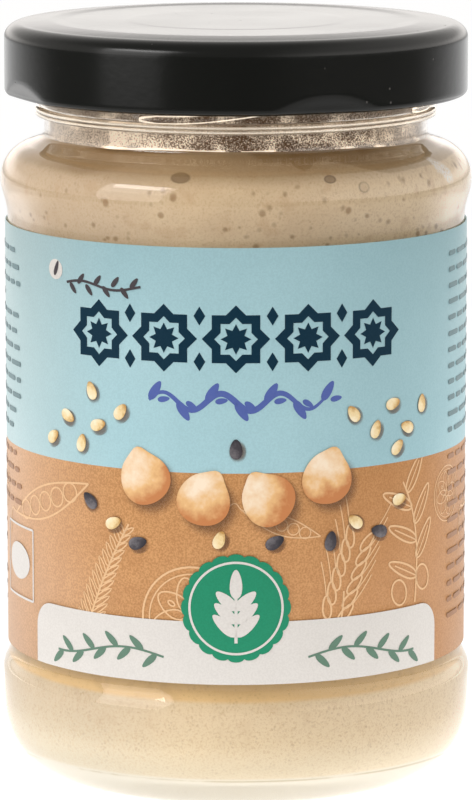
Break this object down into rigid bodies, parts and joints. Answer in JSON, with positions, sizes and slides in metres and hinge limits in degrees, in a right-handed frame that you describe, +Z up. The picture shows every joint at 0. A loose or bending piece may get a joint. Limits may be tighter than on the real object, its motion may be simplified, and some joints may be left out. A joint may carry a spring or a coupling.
{
  "type": "jar of hummus",
  "caption": "Closed clear glass jar filled with hummus, with a paper label wrapped round its body and a black twist-off metal lid.",
  "frame": {"origin": "centre of the base, on the surface that the jar stands on", "axes": "+Z up the jar's axis to the lid, -Y to the front of the label, +X to the right seen from the front"},
  "size_m": [0.0618, 0.0618, 0.0987],
  "materials": {
    "jar_glass": "clear, smooth",
    "hummus": "moist paste with fine brown specks",
    "label_paper": "satin printed paper, pale blue over tan",
    "lid_enamel": "satin black enamel"
  },
  "bodies": {
    "root": {"glass_jar": "jar_glass", "hummus": "hummus", "label": "label_paper", "screw_lid": "lid_enamel"}
  },
  "joints": []
}
